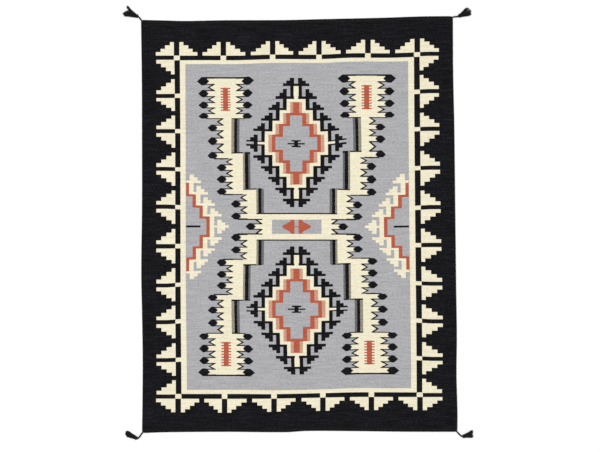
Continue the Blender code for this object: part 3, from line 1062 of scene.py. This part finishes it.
@dataclass
class WovenWeb:
    """The woven web, with the ribs of its weave on both faces."""

    loom: Loom
    rows: int = 76
    thickness: float = 0.0032
    rib_depth: float = 0.0004

    def build(self, material: Material) -> Object:
        """Weave the web as one closed sheet, thinning out under the edge cord.

        Args:
            material: The web's finish.

        Returns:
            The web.
        """
        columns = self.loom.ribs_across * 2
        mesh = bmesh.new()
        mesh.loops.layers.uv.new(LOOM_UV)
        bmesh.ops.create_grid(mesh, x_segments=columns, y_segments=self.rows, size=0.5, calc_uvs=True)
        upper = list(mesh.verts)
        rim = [vertex for vertex in upper if vertex.is_boundary]
        copied = bmesh.ops.duplicate(mesh, geom=upper + list(mesh.edges) + list(mesh.faces))
        lower = [item for item in copied["geom"] if isinstance(item, bmesh.types.BMVert)]
        underside = [item for item in copied["geom"] if isinstance(item, bmesh.types.BMFace)]
        bmesh.ops.reverse_faces(mesh, faces=underside)
        lower_rim = [vertex for vertex in lower if vertex.is_boundary]
        for vertex in lower:
            vertex.co.z = self.rib_depth * self.valley(vertex.co.x, columns)
        for vertex in upper:
            vertex.co.z = self.thickness - self.rib_depth * self.valley(vertex.co.x, columns)
        for vertex in rim + lower_rim:
            vertex.co.z = self.thickness / 2
        bmesh.ops.remove_doubles(mesh, verts=rim + lower_rim, dist=WELD_DISTANCE)
        self.lay_out(mesh, columns)
        web = add_piece("woven_web", mesh, material)
        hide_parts("woven_field")
        return web

    def valley(self, fraction: float, columns: int) -> int:
        """Tell whether a column of vertices lies between two ribs."""
        return 1 - round((fraction + 0.5) * columns) % 2

    def lay_out(self, mesh: Mesh, columns: int) -> None:
        """Move the square grid's vertices to where the loom puts them.

        Args:
            mesh: The grid, from -0.5 to 0.5 each way.
            columns: The number of its columns of faces.
        """
        loom = self.loom
        wefts = [loom.profile(WEFTS, (i / columns - 0.5) * loom.ribs_across) for i in range(columns + 1)]
        warps = [loom.profile(WARPS, (0.5 - i / self.rows) * loom.ribs_along) for i in range(self.rows + 1)]
        spots: dict[tuple[int, int], tuple[float, float]] = {}
        for vertex in mesh.verts:
            column = round((vertex.co.x + 0.5) * columns)
            row = round((vertex.co.y + 0.5) * self.rows)
            if (column, row) not in spots:
                x = (column / columns - 0.5) * loom.ribs_across
                y = (0.5 - row / self.rows) * loom.ribs_along
                across = x + read_smoothly(warps[row], x)[0]
                down = y + read_smoothly(wefts[column], y)[0]
                spots[column, row] = (across * loom.rib, -down * loom.rib)
            vertex.co.x, vertex.co.y = spots[column, row]


@dataclass
class EdgeCord:
    """The twisted cord that runs round the web's four edges."""

    outline: Outline
    size: CordSize = CordSize()
    spacing: float = 0.002
    smoothing_rounds: int = 6
    corner_trim: float = 0.0015

    def track(self) -> Track:
        """Lay out the cord's middle line, clockwise from above, rounded at the cut corners.

        Returns:
            The closed path.
        """
        points = []
        for edge in (Edge.TOP, Edge.RIGHT, Edge.BOTTOM, Edge.LEFT):
            run = self.edge_run(edge)
            points += run if edge in (Edge.TOP, Edge.RIGHT) else run[::-1]
        for _ in range(self.smoothing_rounds):
            following = points[1:] + points[:1]
            points = [(points[i - 1] + points[i] * 2 + after) / 4 for i, after in enumerate(following)]
        return Track(points, closed=True)

    def edge_run(self, edge: Edge) -> list[Vector]:
        """List the points along one edge, between the cuts at its two corners.

        Args:
            edge: The edge.

        Returns:
            The points, from the left or from the top.
        """
        ends = edge in (Edge.TOP, Edge.BOTTOM)
        length = self.outline.width if ends else self.outline.length
        corners = [corner for corner in CORNERS if edge in (corner.side, corner.end)]
        cuts = [corner.cut_across if ends else corner.cut_down for corner in corners]
        low, high = [max(cut - self.corner_trim, self.corner_trim) / length for cut in cuts]
        count = round(length / self.spacing)
        shares = [low + (1.0 - high - low) * i / count for i in range(count + 1)]
        return [self.outline.point(edge, share, self.size.radius) for share in shares]

    def build(self, material: Material) -> Object:
        """Twist the cord along the edges.

        Args:
            material: The cord's finish.

        Returns:
            The cord.
        """
        mesh = bmesh.new()
        self.size.twist(mesh, self.track(), whole_turns=True)
        bmesh.ops.remove_doubles(mesh, verts=list(mesh.verts), dist=WELD_DISTANCE)
        bmesh.ops.recalc_face_normals(mesh, faces=list(mesh.faces))
        return add_piece("edge_cord", mesh, material)


@dataclass
class Tassel:
    """One corner's tassel: a twisted tail cord, a bound and knotted head, and a skirt of loose yarn."""

    corner: Corner
    outline: Outline
    tail: CordSize = CordSize(radius=0.0036, lay=0.013, sides=8, steps_per_turn=14)
    head_length: float = 0.0172
    overlap: float = 0.0012
    roll_radius: float = 0.01
    core_depth: float = 0.0009
    straight_share: float = 0.2
    track_steps: int = 32
    columns: int = 7
    levels: int = 4
    strands_per_lock: int = 2
    strand_radius: float = 0.00095
    strand_sides: int = 5
    strand_steps: int = 11
    level_pitch: float = 0.0020
    neck_rounding: float = 0.38
    root_depth: float = 0.0075
    root_spread: float = 1.2
    bend_share: float = 0.12
    level_shift: float = 0.25
    lock_share: float = 0.3
    turn_scatter: float = 2.5
    reach_scatter: tuple[float, float] = (-0.09, 0.06)
    root_lift: float = 0.85
    wave_sizes: tuple[float, float] = (0.0003, 0.0009)
    wave_counts: tuple[float, float] = (1.0, 2.2)
    tip_taper: float = 0.35

    def __post_init__(self) -> None:
        """Work out where the head stands."""
        self.seat, self.facing = self.outline.corner_cut(self.corner)
        self.heading = self.corner.heading
        self.head_back = self.seat + Vector((self.corner.head_x, self.corner.head_y, 0.0))
        self.face = self.head_back + self.heading * self.head_length
        self.draw = random.Random(self.corner.seed)

    def tail_track(self) -> Track:
        """Lay out the tail cord's path from the web's corner to the head.

        Returns:
            The path.
        """
        start = self.seat - self.facing * self.overlap
        end = self.head_back + self.heading * self.overlap
        reach = (end - start).length * self.straight_share
        first = start + self.facing * reach
        last = end - self.heading * reach
        points = []
        for i in range(self.track_steps + 1):
            t = i / self.track_steps
            s = 1 - t
            points.append(s**3 * start + 3 * s * s * t * first + 3 * s * t * t * last + t**3 * end)
        return Track(points)

    def fit_head(self, verts: Verts, yarn: float, start: float) -> None:
        """Wrap vertices made round the X axis onto the head's section.

        Args:
            verts: The vertices, with X running back from the head's face.
            yarn: How far below the section the radius that they were rolled at comes to lie.
            start: Where X = 0 stands, back from the face.
        """
        for vertex in verts:
            back = start + vertex.co.x
            half_width, half_height = read_smoothly(HEAD_ROWS, back)
            out = math.hypot(vertex.co.y, vertex.co.z)
            proud = out - self.roll_radius - yarn
            side = vertex.co.y / out * (half_width + proud)
            lift = vertex.co.z / out * (half_height + proud)
            place = self.face - self.heading * back + left_of(self.heading) * side
            vertex.co = place + UP * (half_height + lift)

    def head(self, mesh: Mesh) -> None:
        """Make the core of the head, the wraps round its neck and the crossing yarns of its knot.

        Args:
            mesh: The mesh to add to.
        """
        core = roll_tube(mesh, self.roll_radius, 16, self.head_length, 14)
        self.fit_head(core, self.core_depth, 0.0)
        for start, end, turns, phase, yarn in (NECK_WRAPS, *KNOT_YARNS):
            steps = max(round(abs(turns) * 20), 8)
            verts = roll_tube(mesh, yarn, 6, end - start, steps, self.roll_radius, phase, turns)
            self.fit_head(verts, yarn, start)

    def neck_spot(self, column: float, level: float) -> tuple[float, float]:
        """Draw a place in the neck's face in towards its round rim.

        Args:
            column: The place across, in locks.
            level: The place up, in levels.

        Returns:
            The side and the lift there, from -1 to 1.
        """
        side = 2 * column / self.columns - 1
        lift = 2 * level / self.levels - 1
        rounding = self.neck_rounding
        return side * math.sqrt(1 - rounding * lift**2), lift * math.sqrt(1 - rounding * side**2)

    def strand(self, mesh: Mesh, column: float, level: int, aside: float, stack: float) -> None:
        """Draw one yarn of the skirt out of the neck to its tip on the floor or on the yarns below.

        Args:
            mesh: The mesh to add to.
            column: The place across the neck, in locks.
            level: The lock's level.
            aside: The place across the lock, from -1 to 1.
            stack: The place up the lock, from 0 to 1.
        """
        draw = self.draw
        shift = self.level_shift if level % 2 else -self.level_shift
        across = (column + 0.5 + shift + aside * self.lock_share) / self.columns
        turn, reach = read_smoothly(self.corner.fan, across)
        turn += draw.uniform(-self.turn_scatter, self.turn_scatter)
        reach *= 1 + draw.uniform(*self.reach_scatter)
        angle = math.radians(self.corner.heading_deg + turn)
        tip = self.face + Vector((math.cos(angle), math.sin(angle), 0.0)) * reach
        side, lift = self.neck_spot(column + 0.5 + aside * self.lock_share, level + 0.5)
        aside_of_face = left_of(self.heading) * (HEAD_ROWS[0].half_width * side * self.root_spread)
        start = self.face + aside_of_face - self.heading * self.root_depth
        root_height = HEAD_ROWS[0].half_height * (1 + lift * self.root_lift)
        tip_height = level * self.level_pitch + self.strand_radius * (1.05 + stack)
        straight = start.lerp(tip, 0.5)
        bend = straight.lerp(start + self.heading * ((tip - start).length * 0.5), self.bend_share * 2)
        swing = draw.uniform(*self.wave_sizes)
        phase = draw.uniform(0.0, 2 * math.pi)
        waves = draw.uniform(*self.wave_counts)
        verts = roll_tube(mesh, self.strand_radius, self.strand_sides, 1.0, self.strand_steps)
        for vertex in verts:
            t = vertex.co.x
            s = 1 - t
            centre = s * s * start + 2 * s * t * bend + t * t * tip
            way = (s * (bend - start) + t * (tip - bend)).normalized()
            wave = swing * math.sin(2 * math.pi * waves * t + phase) * t
            taper = 1 - self.tip_taper * max(0.0, 4 * t - 3) ** 2
            height = root_height * s * s + tip_height * (1 - s * s) + vertex.co.z * taper
            vertex.co = centre + left_of(way) * (vertex.co.y * taper + wave) + UP * max(height, 0.0)

    def build(self, material: Material) -> Object:
        """Make the whole tassel.

        Args:
            material: The tassel's finish.

        Returns:
            The tassel.
        """
        mesh = bmesh.new()
        self.tail.twist(mesh, self.tail_track())
        self.head(mesh)
        for level in range(self.levels):
            for column in range(self.columns):
                for i in range(self.strands_per_lock):
                    self.strand(mesh, column, level, (2 * i + 1) / self.strands_per_lock - 1, i)
        close_ends(mesh)
        bmesh.ops.recalc_face_normals(mesh, faces=list(mesh.faces))
        piece = add_piece(self.corner.node.replace("tassel", "yarn_tassel"), mesh, material)
        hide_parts(self.corner.node)
        return piece


@dataclass
class Studio:
    """The plain floor, the soft light and the camera straight above."""

    photo_width: float = 2.34
    middle_x: float = 0.00585
    distance: float = 6.0
    sensor: float = 36.0
    floor_size: float = 60.0
    floor_colour: Colour = (0.97, 0.97, 0.97)
    floor_roughness: float = 0.9
    floor_drop: float = 0.0002
    light_place: tuple[float, float, float] = (-0.8, 0.2, 7.5)
    light_size: float = 5.0
    light_power: float = 404.0
    world_strength: float = 0.507

    def floor(self) -> None:
        """Lay the pale floor."""
        mesh = bmesh.new()
        bmesh.ops.create_grid(mesh, x_segments=4, y_segments=4, size=self.floor_size / 2)
        bmesh.ops.translate(mesh, verts=list(mesh.verts), vec=-UP * self.floor_drop)
        graph = Graph("studio_floor")
        colour = (*self.floor_colour, 1.0)
        graph.finish({"Base Color": colour, "Roughness": self.floor_roughness, "Specular IOR Level": 0.0})
        floor = add_mesh("studio_floor", mesh, graph.material)

    def lights(self) -> None:
        """Hang one wide soft light and set a pale sky."""
        lamp = bpy.data.lights.new("soft_light", "AREA")
        lamp.shape = "SQUARE"
        lamp.size = self.light_size
        lamp.energy = self.light_power
        item = add_object("soft_light", lamp)
        item.location = self.light_place
        item.rotation_euler = (-Vector(self.light_place)).to_track_quat("-Z", "Y").to_euler()
        world = bpy.data.worlds.new("studio_sky")
        world.use_nodes = True
        background = world.node_tree.nodes["Background"]
        background.inputs["Color"].default_value = (1.0, 1.0, 1.0, 1.0)
        background.inputs["Strength"].default_value = self.world_strength
        bpy.context.scene.world = world

    def camera(self) -> None:
        """Look straight down, framed as the photograph is."""
        lens = bpy.data.cameras.new("camera")
        lens.sensor_width = self.sensor
        lens.lens = self.sensor * self.distance / self.photo_width
        item = add_object("camera", lens)
        item.location = (self.middle_x, 0.0, self.distance)
        bpy.context.scene.camera = item
        bpy.context.scene.view_settings.view_transform = "Standard"

    def build(self) -> None:
        """Set up the whole studio."""
        self.floor()
        self.lights()
        self.camera()


def main() -> None:
    """Build the studio and the rug, piece by piece."""
    logging.basicConfig(level=logging.INFO, format="%(message)s")
    Studio().build()
    outline = Outline()
    loom = Loom(outline)
    wool = TwistedWool().make()
    web = WovenWeb(loom).build(WovenWool().make(loom))
    cord = EdgeCord(outline).build(wool)
    tassels = [Tassel(corner, outline).build(wool) for corner in CORNERS]


if __name__ == "__main__":
    main()
